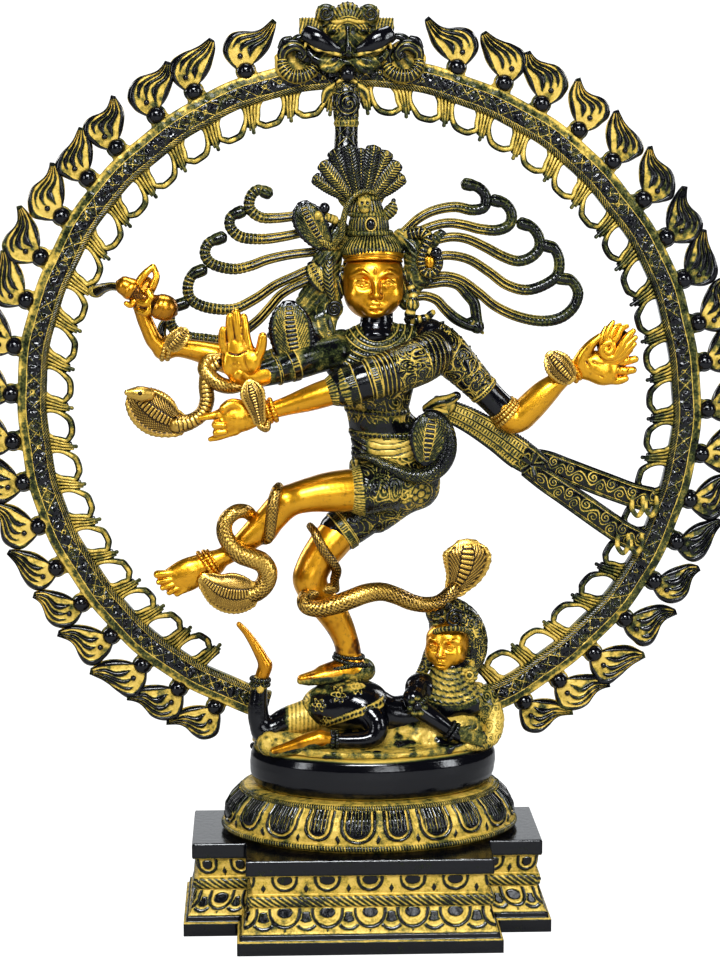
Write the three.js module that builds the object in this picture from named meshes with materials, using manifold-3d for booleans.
// Nataraja statue: a brass dancer on a lotus pedestal, inside a ring of flames.
// Millimetres, +Z up, the front faces -Y, the origin is the middle of the pedestal's underside.
// Every casting is its own mesh. Castings that are brazed or screwed together meet across GAP.
import * as THREE from "three";
import { mergeVertices } from "three/addons/utils/BufferGeometryUtils.js";
import Module from "manifold-3d";

const wasm = await Module();
wasm.setup();

// Driving dimensions
const GAP = 0.5; // clearance left between neighbouring castings
const FACET = 0.05; // facets flatter than this are merged
const PEDESTAL = { block: [102, 103], wing: [146, 58], height: 71, wall: 6 };
const LOTUS = { half: [121, 88], top: 110, wall: 5 };
const CUSHION = { half: [99, 68], x: 10, top: 144 };
const RING = { y: 22, z: 416, inner: 247, outer: 269, fretInner: 226, bead: 278, end: 160 };
const PITCH = 7.5; // degrees from one flame to the next, and from one fretwork opening to the next
const FLAMES = 19; // flames on each half of the ring
const FIRST_FLAME = 17.7; // degrees from the top of the ring to the first flame
const FRET_END = 155; // degrees from the top of the ring to the end of the fretwork
const CREST_X = -8; // the crest mask sits a little to the left of the ring's top

// ---- Shape helpers. Each returns a manifold-3d solid. ----

const rad = THREE.MathUtils.degToRad;
const at = (x, y, z) => new THREE.Vector3(x, y, z);

function solid(geometry) {
  const loose = geometry.index ? geometry.toNonIndexed() : geometry;
  const bare = new THREE.BufferGeometry().setAttribute("position", loose.getAttribute("position"));
  const merged = mergeVertices(bare, 1e-4);
  const triVerts = new Uint32Array(merged.index.array);
  const vertProperties = merged.attributes.position.array;
  const made = new wasm.Manifold(new wasm.Mesh({ numProp: 3, vertProperties, triVerts }));
  if (made.volume() > 0) return made;
  for (let i = 0; i < triVerts.length; i += 3) {
    [triVerts[i + 1], triVerts[i + 2]] = [triVerts[i + 2], triVerts[i + 1]];
  }
  return new wasm.Manifold(new wasm.Mesh({ numProp: 3, vertProperties, triVerts }));
}

const join = (...solids) => solids.flat().reduce((a, b) => a.add(b));

// The value at share t of a list of evenly spaced values, which are numbers or [across, through] pairs.
function between(list, t) {
  const place = Math.min(t, 0.99999) * (list.length - 1);
  const i = Math.floor(place);
  const pair = (value) => (Array.isArray(value) ? value : [value, value]);
  const [a, b] = [pair(list[i]), pair(list[i + 1])];
  return [0, 1].map((k) => THREE.MathUtils.lerp(a[k], b[k], place - i));
}

// A tube with a changing oval section along a smooth curve. A section's first radius lies along `across`.
function limb(points, sections, { sides = 7, steps = 6, across = null, grow = 0 } = {}) {
  const curve = new THREE.CatmullRomCurve3(points.map((p) => at(...p)), false, "centripetal");
  const frames = curve.computeFrenetFrames(steps, false);
  const geometry = new THREE.CylinderGeometry(1, 1, 1, sides, steps);
  const position = geometry.getAttribute("position");
  const p = new THREE.Vector3();
  for (let i = 0; i < position.count; i += 1) {
    p.fromBufferAttribute(position, i);
    const step = Math.round((0.5 - p.y) * steps);
    const t = step / steps;
    const tangent = frames.tangents[step];
    const normal = frames.normals[step].clone();
    if (across) normal.set(...across).addScaledVector(tangent, -tangent.dot(at(...across))).normalize();
    const other = tangent.clone().cross(normal);
    const [a, b] = between(sections, t);
    const centre = curve.getPointAt(t);
    const past = step === 0 ? -grow : step === steps ? grow : 0;
    centre.addScaledVector(tangent, past);
    centre.addScaledVector(normal, p.x * (a + grow)).addScaledVector(other, p.z * (b + grow));
    position.setXYZ(i, centre.x, centre.y, centre.z);
  }
  return solid(geometry);
}

// An ellipsoid, tilted in the front plane by `tilt` degrees.
function blob(centre, radii, { tilt = 0, sides = 8, rows = 6, grow = 0 } = {}) {
  const geometry = new THREE.SphereGeometry(1, sides, rows);
  geometry.scale(...radii.map((r) => r + grow));
  geometry.rotateY(rad(-tilt));
  geometry.translate(...centre);
  return solid(geometry);
}

// A turned shape about +Z from [radius, height] points, squeezed in Y by `squeeze`.
function turned(profile, { squeeze = 1, centre = [0, 0], sides = 32 } = {}) {
  const geometry = new THREE.LatheGeometry(profile.map(([r, z]) => new THREE.Vector2(r, z)), sides);
  geometry.rotateX(Math.PI / 2);
  geometry.scale(1, squeeze, 1);
  geometry.translate(centre[0], centre[1], 0);
  return solid(geometry);
}

// A plate standing in the front plane: a THREE.Shape of [x, z] drawn from the front, from y0 to y1.
function plate(shape, y0, y1, curveSegments = 6) {
  const geometry = new THREE.ExtrudeGeometry(shape, { depth: y1 - y0, bevelEnabled: false, curveSegments });
  geometry.rotateX(Math.PI / 2);
  geometry.translate(0, y1, 0);
  return solid(geometry);
}

function box([x0, y0, z0], [x1, y1, z1]) {
  const geometry = new THREE.BoxGeometry(x1 - x0, y1 - y0, z1 - z0);
  geometry.translate((x0 + x1) / 2, (y0 + y1) / 2, (z0 + z1) / 2);
  return solid(geometry);
}

// A round bar between two points.
function bar(from, to, radius, sides = 12) {
  return limb([from, to], [radius, radius], { sides, steps: 1 });
}

// ---- Pieces. A piece is a function of `grow`, and is cut by the grown shape of each piece listed before it. ----

const pieces = [];
const MATERIALS = {
  gold: { color: 0xc8861e, roughness: 0.3, metalness: 1 },
  patina: { color: 0x3b3a22, roughness: 0.45, metalness: 0.8 },
  black: { color: 0x18181c, roughness: 0.25, metalness: 0.6 },
  steel: { color: 0x8a8a8c, roughness: 0.4, metalness: 1 },
};

function piece(name, finish, shape, grown = shape) {
  pieces.push({ name, finish, shape, grown });
}

// ---- Pedestal, lotus and cushion ----

const [BLOCK_X, BLOCK_Y] = PEDESTAL.block;
const [WING_X, WING_Y] = PEDESTAL.wing;

// The pedestal's plan is a cross: a deep middle block with a shallower wing on each side.
function crossPlan(inset) {
  const [bx, by, wx, wy] = [BLOCK_X, BLOCK_Y, WING_X, WING_Y].map((side) => side - inset);
  const corner = [[bx, by], [bx, wy], [wx, wy]];
  const right = [...corner, ...corner.map(([x, y]) => [x, -y]).reverse()];
  const left = right.map(([x, y]) => [-x, -y]);
  return new THREE.Shape([...right, ...left].map(([x, y]) => new THREE.Vector2(x, y)));
}

// Stacked courses on the cross plan, from [height, inset] pairs.
function courses(levels) {
  const steps = levels.length - 1;
  const geometry = new THREE.ExtrudeGeometry(crossPlan(0), { depth: 1, steps, bevelEnabled: false });
  const position = geometry.getAttribute("position");
  for (let i = 0; i < position.count; i += 1) {
    const [x, y] = [position.getX(i), position.getY(i)];
    const [height, inset] = levels[Math.round(position.getZ(i) * steps)];
    position.setXYZ(i, x - Math.sign(x) * inset, y - Math.sign(y) * inset, height);
  }
  return solid(geometry);
}

const PEDESTAL_LEVELS = [
  [0, 0], [8, 0], [8.5, 2], [13, 2], [14, 4.5], [33, 10.5], [34, 9], [42, 9],
  [43, 12], [58, 10], [58.5, 7], [PEDESTAL.height, 7],
];

piece("pedestal", "patina", () => {
  const roof = PEDESTAL.height - PEDESTAL.wall;
  const hollow = courses([[-1, PEDESTAL.wall], [14, PEDESTAL.wall + 3], [34, 16], [roof, 17]]);
  const opening = turned([[0, roof - 1], [72, roof - 1], [72, 80], [0, 80]], { squeeze: 0.62 });
  return courses(PEDESTAL_LEVELS).subtract(hollow).subtract(opening);
});

const LOTUS_FOOT = PEDESTAL.height + GAP;
const LOTUS_SQUEEZE = LOTUS.half[1] / LOTUS.half[0];

piece("lotus_base", "patina", () => {
  const { top, wall, half: [rim] } = LOTUS;
  const inside = [[0, top - wall], [rim - 30, top - wall], [rim - 18, LOTUS_FOOT + 12], [rim - 26, LOTUS_FOOT]];
  const outside = [
    [rim - 10, LOTUS_FOOT], [rim - 8, LOTUS_FOOT + 4], [rim, LOTUS_FOOT + 7], [rim, LOTUS_FOOT + 10],
    [rim - 4, LOTUS_FOOT + 13], [rim - 5, LOTUS_FOOT + 22], [rim - 11, LOTUS_FOOT + 31],
    [rim - 14, top - 5], [rim - 14, top], [0, top],
  ];
  const shell = turned([...inside, ...outside], { squeeze: LOTUS_SQUEEZE, sides: 24 });
  return shell.subtract(bar([CUSHION.x, 0, top - 20], [CUSHION.x, 0, top + 1], 5));
});

const CUSHION_FOOT = LOTUS.top + GAP;
const CUSHION_SQUEEZE = CUSHION.half[1] / CUSHION.half[0];
const TIE = { radius: 4, top: CUSHION_FOOT + 22, low: 46, clamp: [62, 65 - GAP] };

piece("tie_rod", "steel", () => bar([CUSHION.x, 0, TIE.low], [CUSHION.x, 0, TIE.top], TIE.radius),
  (grow) => bar([CUSHION.x, 0, TIE.low - grow], [CUSHION.x, 0, TIE.top + grow], TIE.radius + grow));

piece("clamp_bar", "steel", () => {
  const [low, high] = TIE.clamp;
  return box([CUSHION.x - 90, -11, low - 2], [CUSHION.x + 74, 11, high]);
});

piece("tie_nut", "steel", () => bar([CUSHION.x, 0, 52], [CUSHION.x, 0, TIE.clamp[0] - 2 - GAP], 8, 6));

piece("cushion_plinth", "black", () => {
  const [half] = CUSHION.half;
  const profile = [
    [0, CUSHION_FOOT], [half - 9, CUSHION_FOOT], [half - 3, CUSHION_FOOT + 7], [half, CUSHION_FOOT + 18],
    [half - 1, CUSHION_FOOT + 26], [half - 5, CUSHION.top], [0, CUSHION.top],
  ];
  return turned(profile, { squeeze: CUSHION_SQUEEZE, centre: [CUSHION.x, 0], sides: 24 })
    .subtract(bar([CUSHION.x, 0, 100], [CUSHION.x, 0, TIE.top + 1], TIE.radius + GAP))
    .subtract(tenon(-1, GAP)).subtract(tenon(1, GAP))
    .subtract(tenonScrew(-1, GAP)).subtract(tenonScrew(1, GAP));
});

// ---- Ring of flames: two half castings that meet under the crest, each with a tenon in the cushion ----

const onRing = (radius, degrees) => [radius * Math.sin(rad(degrees)), RING.z + radius * Math.cos(rad(degrees))];

// Part of a flat ring, `half` thick to each side of the ring's plane.
function arcPlate(inner, outer, from, to, half, segments) {
  const shape = new THREE.Shape();
  const turn = (degrees) => Math.PI / 2 - rad(degrees);
  shape.absarc(0, RING.z, outer, turn(from), turn(to), true);
  shape.absarc(0, RING.z, inner, turn(to), turn(from), false);
  return plate(shape, RING.y - half, RING.y + half, segments);
}

// Openings of the fretwork, rounded trapezoids with a waist towards the band.
function fretOpening(degrees) {
  const outline = [[-2.1, 243.5], [2.1, 243.5], [2.3, 231], [-2.3, 231]];
  const points = outline.map(([d, radius]) => new THREE.Vector2(...onRing(radius, degrees + d)));
  return plate(new THREE.Shape(points), RING.y - 4, RING.y + 4);
}

// A bead with its flame, in [towards the top, outwards] from the bead's centre. The stem starts in the band.
const FLAME = [
  [3.5, -10], [3.5, -6], [7, 0], [4, 6], [17, 17], [25.5, 30.5], [3, 31.5], [-14.5, 21],
  [-4, 6], [-7, 0], [-3.5, -6], [-3.5, -10],
];

function flame(degrees, side) {
  const angle = rad(degrees * side);
  const out = [Math.sin(angle), Math.cos(angle)];
  const up = [-side * Math.cos(angle), side * Math.sin(angle)];
  const [cx, cz] = onRing(RING.bead, degrees * side);
  const points = FLAME.map(([u, r]) => new THREE.Vector2(cx + up[0] * u + out[0] * r, cz + up[1] * u + out[1] * r));
  return plate(new THREE.Shape(points), RING.y - 4, RING.y + 4);
}

function tenon(side, grow) {
  const [x, z] = onRing((RING.inner + RING.outer) / 2, RING.end * side);
  const [half, deep] = [7 + grow, 3.5 + grow];
  const foot = CUSHION.top - 18 - grow;
  return box([x - half, RING.y - deep, foot], [x + half, RING.y + deep, z + 2]);
}

// The screw comes in from the back of the cushion and ends in the tenon.
function tenonScrew(side, grow) {
  const [x] = onRing((RING.inner + RING.outer) / 2, RING.end * side);
  const z = CUSHION.top - 10;
  const back = 70;
  return bar([x, RING.y - grow, z], [x, back, z], 2.5 + grow, 8);
}

function ringHalf(side) {
  const [from, to] = side > 0 ? [0.05, RING.end] : [-RING.end, -0.05];
  const band = arcPlate(RING.inner, RING.outer, from, to, 5, 24);
  const [fretFrom, fretTo] = side > 0 ? [0.05, FRET_END] : [-FRET_END, -0.05];
  const openings = Array.from({ length: 20 }, (_, i) => fretOpening(side * (6 + i * PITCH)));
  const fret = arcPlate(RING.fretInner, RING.inner + 1, fretFrom, fretTo, 2.5, 24).subtract(join(openings));
  const flames = Array.from({ length: FLAMES }, (_, i) => flame(FIRST_FLAME + i * PITCH, side));
  const screwSeat = tenonScrew(side, GAP);
  return join(band, fret, tenon(side, 0), flames).subtract(screwSeat);
}

// The plain outline of a half ring, for clearing the castings that pass close to it.
function ringBand(side, grow) {
  const [from, to] = side > 0 ? [0, RING.end] : [-RING.end, 0];
  return arcPlate(RING.fretInner - grow, RING.outer + grow, from, to, 5 + grow, 24).add(tenon(side, grow));
}

for (const side of [-1, 1]) {
  const hand = side < 0 ? "left" : "right";
  piece(`ring_half_${hand}`, "patina", () => ringHalf(side), (grow) => ringBand(side, grow));
  piece(`tenon_screw_${hand}`, "steel", () => {
    const screw = tenonScrew(side, 0);
    const [x] = onRing((RING.inner + RING.outer) / 2, RING.end * side);
    const { half: [a, b], x: cx, top } = CUSHION;
    const surface = b * Math.sqrt(1 - ((Math.abs(x - cx) - 6) / a) ** 2);
    const head = bar([x, surface + GAP, top - 10], [x, surface + 3, top - 10], 4.5, 10);
    return screw.subtract(box([x - 9, surface + 2, top - 20], [x + 9, 90, top])).add(head);
  });
}

piece("kirtimukha_mask", "patina", (grow = 0) => join(
  blob([CREST_X, 9, 700], [36, 13, 22], { sides: 12, grow }),
  blob([CREST_X, 4, 717], [11, 10, 9.8], { rows: 5, grow }),
  [-1, 1].map((s) => blob([CREST_X + 20 * s, 7, 714], [10, 8, 9], { rows: 5, grow })),
  blob([CREST_X, 3, 686], [18, 12, 8], { rows: 5, grow }),
));

for (const side of [-1, 1]) {
  const x = CREST_X + 46 * side;
  piece(`makara_${side < 0 ? "left" : "right"}`, "patina", (grow = 0) => join(
    blob([x, 9, 682], [12, 8, 15], { tilt: -12 * side, rows: 5, grow }),
    blob([x + 5 * side, 9, 694], [5, 5, 6], { rows: 5, sides: 7, grow }),
  ));
}

piece("crest_post", "patina", (grow = 0) => join(
  limb([[CREST_X, 6, 683], [CREST_X + 1, 4, 655], [-5, 0, 612]], [[11, 8], [12, 7], [11, 6], [12, 6]],
    { sides: 8, steps: 4, across: [1, 0, 0], grow }),
  blob([CREST_X, -3, 672], [7, 7, 7], { rows: 5, sides: 7, grow }),
));

// ---- Figure: body and head ----

piece("torso", "patina", (grow = 0) => join(
  limb([[17, -4, 396], [14, -5, 412], [13, -6, 440], [13, -5, 458], [13, -7, 472], [13, -10, 492]],
    [[24, 16], [27, 17], [35, 19], [30, 17], [13, 11], [12, 11]], { sides: 12, steps: 7, across: [1, 0, 0], grow }),
  blob([-20, -4, 452], [15, 14, 12], { tilt: 12, grow }),
  blob([50, -2, 456], [16, 15, 13], { tilt: -12, grow }),
));

piece("head", "gold", (grow = 0) => join(
  blob([10, -12, 513], [25, 24, 31], { grow }),
  blob([10, -20, 497], [17, 15, 13], { grow }),
));

piece("crown", "patina", (grow = 0) => turned(
  [[0, 524 - grow], [27 + grow, 524 - grow], [29 + grow, 536], [26 + grow, 544], [20 + grow, 547], [19 + grow, 560],
    [20 + grow, 564], [15 + grow, 572], [14 + grow, 584 + grow], [0, 584 + grow]],
  { centre: [9, -11], squeeze: 0.85, sides: 14 }));

// Nine long feathers fan out over the crown.
piece("feather_fan", "patina", (grow = 0) => {
  const root = [2, 568];
  const feathers = 9;
  const outline = [];
  for (let i = 0; i < feathers; i += 1) {
    for (const [share, length] of [[-0.42, 0.9], [-0.18, 1], [0.18, 1], [0.42, 0.9]]) {
      const angle = rad(-62 + (i + share + 0.5) * (124 / feathers));
      const reach = length * (47 - 4 * Math.abs(Math.sin(angle)));
      outline.push([root[0] + reach * Math.sin(angle), root[1] + reach * Math.cos(angle)]);
    }
  }
  outline.push([root[0] + 9, root[1] - 4], [root[0] - 9, root[1] - 4]);
  const shape = new THREE.Shape(outline.map(([x, z]) => new THREE.Vector2(x, z)));
  return plate(shape, -5 - grow, 3 + grow);
});

// Matted locks stream to both sides and curl up at their tips.
const LOCKS_LEFT = [
  [[-8, 4, 566], [-48, 6, 563], [-82, 7, 560], [-92, 7, 574], [-78, 6, 583]],
  [[-8, 4, 553], [-52, 6, 549], [-92, 7, 541], [-106, 7, 560], [-94, 7, 571]],
  [[-12, 4, 538], [-60, 6, 525], [-102, 7, 516], [-125, 7, 535], [-110, 7, 548]],
  [[-14, 4, 524], [-65, 6, 500], [-108, 7, 489], [-139, 7, 505], [-126, 7, 520]],
  [[-12, 4, 508], [-62, 6, 478], [-102, 8, 464], [-148, 9, 473], [-142, 9, 491]],
];
const LOCKS_RIGHT = [
  [[32, 4, 548], [58, 6, 566], [92, 7, 567], [100, 7, 582], [86, 6, 588]],
  [[34, 4, 543], [70, 6, 556], [104, 7, 548], [120, 7, 564], [107, 7, 577]],
  [[34, 4, 535], [80, 6, 545], [118, 7, 529], [146, 7, 538], [128, 7, 559]],
  [[34, 4, 527], [80, 6, 529], [126, 7, 506], [162, 7, 520], [148, 7, 541]],
  [[32, 4, 518], [78, 6, 513], [134, 7, 482], [182, 7, 490], [160, 7, 514]],
  [[30, 4, 507], [62, 6, 512], [88, 7, 500], [94, 7, 476]],
  [[30, 4, 500], [56, 6, 500], [76, 7, 482], [92, 7, 474]],
];

for (const [hand, locks] of [["left", LOCKS_LEFT], ["right", LOCKS_RIGHT]]) {
  const [centre, radii] = hand === "left" ? [[-12, 6, 535], [12, 7, 36]] : [[36, 6, 524], [10, 7, 30]];
  piece(`hair_${hand}`, "patina", (grow = 0) => join(
    blob(centre, radii, { grow }),
    locks.map((lock) => limb(lock, [3.4, 3.2, 3.2, 3.8, 3.6], { sides: 4, steps: 6, grow })),
  ));
}

for (const [hand, x, ear] of [["left", -20, -13], ["right", 38, 33]]) {
  piece(`earring_${hand}`, "patina", (grow = 0) => join(
    limb([[x, -18, 482], [x, -10, 482]], [8, 8], { sides: 12, steps: 1, grow }),
    limb([[x, -14, 486], [ear, -13, 502]], [2.5, 2.5], { sides: 6, steps: 1, grow }),
  ));
}

// A cobra's body runs to a flat oval hood.
function hood(centre, radii, tilt, grow) {
  return blob(centre, radii, { tilt, grow });
}

piece("crown_cobra", "patina", (grow = 0) => join(
  limb([[-4, -16, 538], [-22, -18, 537], [-34, -14, 544]], [3.5, 4, 5], { sides: 6, steps: 5, grow }),
  hood([-38, -12, 557], [12, 5, 20], 18, grow),
));

piece("moon_flower", "patina", (grow = 0) => join(
  blob([52, -8, 527], [13, 6, 19], { tilt: -8, grow }),
  blob([38, -8, 538], [12, 5, 9], { tilt: 30, grow }),
));

piece("shoulder_cobra", "patina", (grow = 0) => join(
  hood([-56, -20, 475], [14, 6, 26], 14, grow),
  limb([[-30, -16, 468], [-44, -19, 458], [-54, -20, 452]], [5, 5, 5], { sides: 6, steps: 5, grow }),
));

// ---- Figure: arms ----

function fingers(list, radius, grow = 0) {
  return list.map((path) => limb(path, [radius, radius, radius * 0.75], { sides: 4, steps: 2, grow }));
}

// Front right arm: the open palm, raised.
piece("blessing_arm", "patina", (grow = 0) => limb(
  [[-24, -8, 452], [-48, -16, 446], [-72, -24, 443], [-90, -30, 442]], [15, 13, 11, 9], { grow }));
piece("blessing_hand", "gold", (grow = 0) => join(
  limb([[-92, -32, 436], [-94, -34, 452], [-94, -34, 466]], [[9, 7], [13, 6], [13, 5]],
    { sides: 10, steps: 4, across: [1, 0, 0], grow }),
  fingers([
    [[-103, -34, 460], [-105, -34, 472], [-105, -36, 480]],
    [[-97, -34, 463], [-98, -34, 478], [-97, -35, 490]],
    [[-91, -34, 464], [-90, -34, 480], [-90, -36, 494]],
    [[-86, -34, 462], [-84, -34, 476], [-82, -36, 487]],
    [[-84, -34, 446], [-76, -36, 456], [-77, -37, 469]],
  ], 3.4, grow),
  limb([[-82, -28, 440], [-100, -33, 434]], [13, 14], { sides: 14, steps: 2, grow }),
));
piece("wrist_cobra", "patina", (grow = 0) => join(
  limb([[-108, -30, 440], [-119, -32, 436], [-120, -34, 420], [-134, -34, 409], [-150, -34, 410]],
    [4.5, 5, 5.5, 5, 6], { sides: 8, steps: 10, grow }),
  hood([-161, -34, 417], [24, 6, 16], -28, grow),
  blob([-178, -38, 427], [7, 7, 6], { rows: 5, sides: 7, grow }),
));

// Rear right arm: holds the hourglass drum.
piece("drum_arm", "gold", (grow = 0) => join(
  limb([[-136, 2, 458], [-152, 2, 466]], [13, 12], { sides: 12, steps: 1, grow }),
  limb([[-18, 0, 452], [-62, 1, 449], [-108, 1, 450], [-147, 2, 464], [-160, 3, 472], [-168, 2, 490]],
    [12, 12, 12, 9.5, 8, 7, 7], { sides: 7, steps: 8, grow }),
  blob([-168, 1, 496], [9, 7, 10], { rows: 5, sides: 7, grow }),
));
piece("drum", "gold", (grow = 0) => limb(
  [[-181, 3, 511], [-172, 2, 505], [-166, 0, 500], [-160, -2, 496], [-150, -3, 489]],
  [11, 8, 5, 8, 11], { sides: 10, steps: 6, grow }));
piece("drum_stay", "patina", (grow = 0) => limb(
  [[-174, 4, 500], [-190, 12, 506], [-208, 18, 510], [-230, 20, 498]], [3.5, 3.2, 3.2, 4], { sides: 6, steps: 6, grow }));

// Rear left arm: carries the fire.
piece("fire_upper_arm", "patina", (grow = 0) => join(
  limb([[58, -5, 458], [78, -4, 444], [98, -3, 424], [118, -2, 401]], [18, 17, 15, 11], { steps: 8, grow }),
  limb([[112, -2, 405], [119, -2, 402]], [13.5, 13.5], { sides: 12, steps: 1, grow }),
));
piece("fire_forearm", "gold", (grow = 0) => join(
  limb([[112, -2, 398], [124, -3, 400], [140, -4, 414], [156, -4, 428], [172, -4, 441]], [9, 12, 12, 11, 8],
    { steps: 7, grow }),
  limb([[172, -4, 441], [184, -4, 447], [198, -4, 450]], [[8, 8], [12, 7], [11, 5]],
    { across: [-0.3, 0, 1], steps: 4, grow }),
  fingers([
    [[198, -4, 457], [207, -7, 459], [214, -9, 461]],
    [[199, -5, 452], [209, -8, 453], [217, -10, 454]],
    [[198, -5, 446], [208, -8, 446], [215, -10, 447]],
    [[195, -5, 441], [203, -8, 440], [209, -10, 439]],
    [[180, -6, 454], [184, -10, 463], [190, -11, 468]],
  ], 3.2, grow),
));
piece("fire_bracelet", "gold", (grow = 0) => join(
  limb([[158, -4, 431], [166, -4, 437]], [13, 12], { sides: 12, steps: 1, grow }),
  blob([161, -11, 437], [10, 5, 13], { tilt: -35, rows: 6, grow }),
));
piece("hand_flame", "gold", (grow = 0) => blob([203, -12, 468], [14, 7, 12], { tilt: -30, grow }));

// Front left arm: crosses the chest and points down at the raised foot.
piece("pointing_arm", "patina", (grow = 0) => limb(
  [[56, -16, 454], [46, -32, 450], [22, -42, 444], [-4, -44, 436], [-22, -45, 432]], [16, 16, 14, 13, 12.5],
  { steps: 9, grow }));
piece("pointing_forearm", "gold", (grow = 0) => join(
  limb([[-22.5, -45, 432], [-45, -46, 427], [-66, -46, 422], [-84, -46, 418]], [11.5, 11.5, 9, 7.5],
    { steps: 6, grow }),
  limb([[-84, -46, 417], [-96, -46, 414], [-108, -46, 412]], [[8, 7], [11, 7], [9, 6]],
    { across: [0, 0, 1], steps: 4, grow }),
  fingers([
    [[-106, -46, 416], [-115, -46, 414], [-123, -46, 413]],
    [[-106, -46, 411], [-114, -46, 408], [-118, -46, 405]],
    [[-104, -46, 407], [-110, -46, 402], [-114, -46, 399]],
    [[-94, -48, 420], [-99, -50, 426], [-104, -50, 428]],
  ], 3.1, grow),
));
piece("pointing_bracelet", "gold", (grow = 0) => join(
  limb([[-74, -46, 420], [-82, -46, 418]], [11, 10], { sides: 12, steps: 1, grow }),
  blob([-78, -55, 424], [7, 5, 15], { tilt: 22, rows: 6, grow }),
));

// ---- Figure: hips, legs, sash and snakes ----

piece("hip_cloth", "patina", (grow = 0) => join(
  limb([[17, -4, 401], [16.5, -4, 391]], [[27, 17], [27, 17.5]], { sides: 12, steps: 1, across: [1, 0, 0], grow }),
  limb([[17, -4, 395.4], [20, -6, 384], [26, -8, 366], [32, -8, 348]], [[23, 16], [28, 19], [33, 22], [27, 21]],
    { sides: 12, steps: 4, across: [1, 0, 0], grow }),
  limb([[32, -8, 350], [18, -14, 350], [2, -18, 349.5]], [21, 20, 19], { steps: 2, grow }),
  limb([[30, -8, 350], [12, -6, 338], [-3, -5, 325]], [22, 20, 18], { steps: 2, grow }),
));
piece("standing_leg", "gold", (grow = 0) => join(
  limb([[0, -5, 328], [-14, -7, 312], [-40, -12, 284], [-32, -7, 256], [-18, -2, 234], [-7, 0, 214]],
    [17, 17, 17, 15.5, 14, 10], { steps: 9, grow }),
  limb([[4, 0, 203], [-14, -4, 204], [-34, -8, 201], [-50, -10, 199]], [[12, 9], [12, 9], [12, 7], [8, 4.5]],
    { across: [0, 1, 0], steps: 6, grow }),
  limb([[-5, 0, 206], [-7, 0, 217]], [11, 11.5], { steps: 1, grow }),
));
piece("raised_leg", "gold", (grow = 0) => join(
  limb([[6, -17, 349.5], [-14, -22, 349.5], [-40, -28, 350], [-64, -32, 345], [-92, -34, 322], [-116, -36, 302]],
    [17.5, 17, 15.5, 14, 12, 9], { steps: 9, grow }),
  limb([[-110, -36, 298], [-120, -37, 294], [-140, -39, 286], [-160, -40, 280]], [[13, 9], [14, 10], [13, 7], [10, 4]],
    { across: [-0.45, 0, -0.9], steps: 6, grow }),
));
piece("raised_anklet", "gold", (grow = 0) => limb(
  [[-112, -36, 305], [-122, -37, 298]], [[13, 13], [15, 13]], { sides: 12, steps: 1, grow }));
piece("raised_leg_cobra", "patina", (grow = 0) => join(
  limb([[-72, -34, 362], [-84, -50, 345], [-80, -48, 320], [-94, -22, 308], [-108, -30, 330], [-98, -50, 322],
    [-88, -54, 300], [-78, -48, 288], [-90, -47, 280]], [4, 4.5, 5, 5, 6, 6, 6, 6.5, 7], { sides: 5, steps: 14, grow }),
  hood([-110, -47, 278], [21, 6, 13], 8, grow),
));
piece("standing_leg_cobra", "patina", (grow = 0) => join(
  limb([[-36, -26, 312], [-22, -24, 290], [-14, 4, 272], [-36, 12, 256], [-52, -8, 256], [-34, -26, 260],
    [0, -28, 269], [23, -28, 260], [44, -28, 257], [58, -28, 265], [64, -28, 280]],
  [4, 4.5, 5, 6, 6.5, 7, 6.5, 6, 5.5, 6, 8], { sides: 5, steps: 15, grow }),
  hood([67, -28, 291], [18, 5, 21], 0, grow),
));
piece("waist_cobra", "patina", (grow = 0) => join(
  limb([[-4, -28, 386], [26, -33, 367], [48, -36, 362], [66, -34, 378], [64, -33, 402], [50, -32, 412]],
    [4, 5, 6, 6.5, 6, 5], { sides: 6, steps: 9, grow }),
  hood([54, -35, 389], [14, 5, 22], -6, grow),
));
piece("sash_knot", "patina", (grow = 0) => join(
  blob([48, -8, 408], [20, 8, 12], { tilt: -20, grow }),
  blob([62, -4, 414], [6, 5, 5], { rows: 5, sides: 7, grow }),
));
const SASH_UPPER = [[56, 0, 412], [88, 5, 392], [124, 9, 372], [162, 11, 361], [196, 14, 345], [222, 13, 336], [246, 14, 331]];
const SASH_LOWER = [[60, 0, 402], [92, 5, 376], [132, 9, 356], [160, 11, 342], [187, 14, 317], [212, 14, 301], [234, 15, 295]];
piece("sash_upper", "patina", (grow = 0) => limb(SASH_UPPER, [[9, 3], [11, 3], [11, 3], [10, 3], [10, 3]],
  { sides: 6, steps: 8, across: [0.3, 0, 1], grow }));
piece("sash_lower", "patina", (grow = 0) => limb(SASH_LOWER, [[9, 3], [11, 3], [11, 3], [10, 3], [10, 3]],
  { sides: 6, steps: 8, across: [0.4, 0, 1], grow }));

// ---- The dwarf under the dancer's foot, on a mound ----

piece("dwarf_body", "black", (grow = 0) => join(
  limb([[-40, -6, 170], [-20, -10, 171], [2, -10, 168], [24, -10, 165], [44, -12, 168], [66, -14, 176]],
    [15, 21, 18, 14, 17, 20], { steps: 7, sides: 10, grow }),
  blob([72, -12, 184], [22, 14, 14], { tilt: 18, grow }),
));
piece("dwarf_head", "gold", (grow = 0) => join(
  blob([68, -22, 222], [15, 14, 19], { tilt: -12, grow }),
  limb([[66, -14, 192], [67, -16, 208]], [9, 9], { sides: 8, steps: 2, grow }),
));
piece("dwarf_hair", "patina", (grow = 0) => join(
  blob([77, -10, 227], [24, 13, 31], { tilt: -14, sides: 14, grow }),
  blob([68, -12, 246], [12, 11, 11], { rows: 6, grow }),
));
piece("dwarf_earring", "patina", (grow = 0) => limb(
  [[86, -28, 203], [86, -20, 203]], [7, 7], { sides: 12, steps: 1, grow }));
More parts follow.
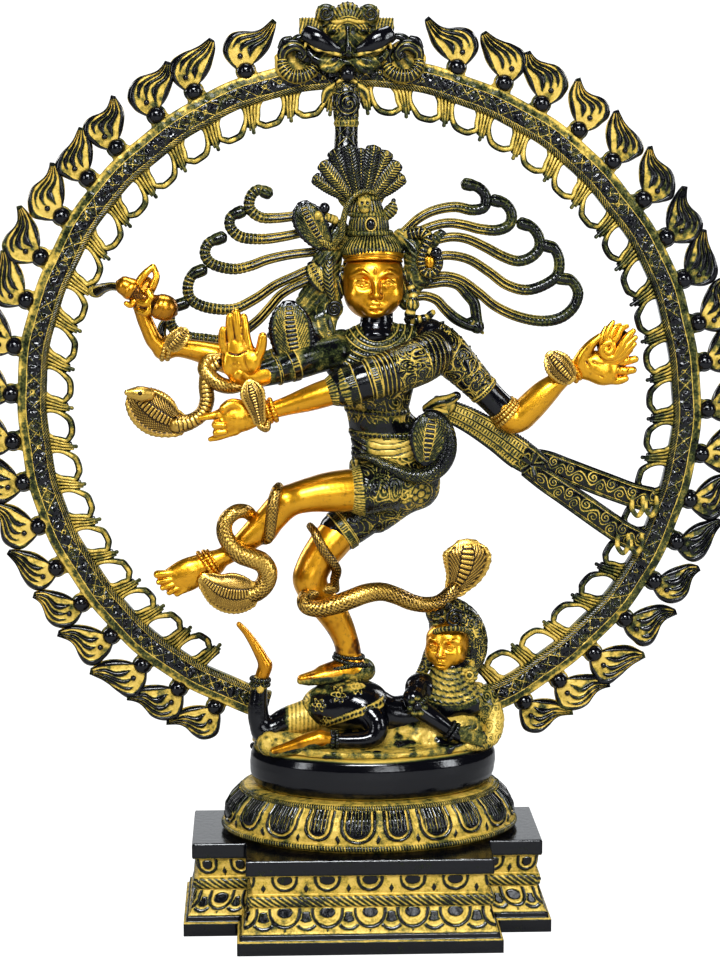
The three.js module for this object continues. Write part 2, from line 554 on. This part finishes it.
piece("dwarf_near_arm", "black", (grow = 0) => join(
  limb([[44, -22, 196], [44, -34, 184], [58, -42, 170], [74, -42, 159], [80, -40, 154]], [9, 8.5, 8, 6.5, 5],
    { steps: 8, grow }),
  limb([[43, -27, 190], [46, -36, 181]], [12, 12], { sides: 12, steps: 1, grow }),
));
piece("dwarf_far_arm", "patina", (grow = 0) => limb(
  [[88, -6, 184], [98, -10, 170], [92, -22, 156]], [9, 8, 7], { sides: 8, steps: 5, grow }));
piece("dwarf_bent_leg", "black", (grow = 0) => join(
  limb([[-4, -26, 172], [10, -40, 168], [15, -46, 157], [-4, -46, 152], [-24, -44, 152], [-40, -42, 152]],
    [13, 11, 10, 9, 8, 6], { steps: 8, grow }),
  limb([[-39, -42, 152], [-54, -42, 150], [-74, -38, 147.5]], [[7, 7], [8, 6], [5, 3]], { steps: 4, grow }),
));
piece("dwarf_raised_leg", "black", (grow = 0) => join(
  limb([[-38, -4, 168], [-62, -4, 166], [-78, -5, 162], [-80, -6, 182], [-81, -7, 206]], [13, 11, 10, 9, 7],
    { steps: 7, grow }),
  limb([[-79, -7, 208], [-82, -8, 220], [-89, -9, 234], [-97, -9, 242]], [[8, 5], [8, 5], [5.5, 3], [5, 2.5]],
    { across: [1, 0, 0.4], steps: 6, grow }),
));

piece("mound", "patina", () => {
  const { half: [a], x, top } = CUSHION;
  const profile = [[0, top + GAP], [a - 7, top + GAP], [a - 9, top + 5], [a - 22, top + 10], [a - 50, top + 14],
    [0, top + 16]];
  return turned(profile, { squeeze: CUSHION_SQUEEZE, centre: [x, 0], sides: 24 });
});

// ---- Assembly ----

const overlap = (a, b) => [0, 1, 2].every((k) => a.min[k] < b.max[k] && b.min[k] < a.max[k]);
const largest = (parts) => parts.reduce((a, b) => (a.volume() > b.volume() ? a : b));

const statue = new THREE.Group();
const placed = [];
for (const { name, finish, shape, grown } of pieces) {
  let body = shape(0);
  for (const other of placed) {
    if (overlap(body.boundingBox(), other.boundingBox())) body = body.subtract(other);
  }
  body = largest(body.simplify(FACET).decompose());
  placed.push(grown(GAP));
  const mesh = body.getMesh();
  const geometry = new THREE.BufferGeometry();
  geometry.setAttribute("position", new THREE.BufferAttribute(mesh.vertProperties, 3));
  geometry.setIndex(new THREE.BufferAttribute(mesh.triVerts, 1));
  const node = new THREE.Mesh(geometry, new THREE.MeshStandardMaterial(MATERIALS[finish]));
  node.name = name;
  statue.add(node);
}

export default statue;
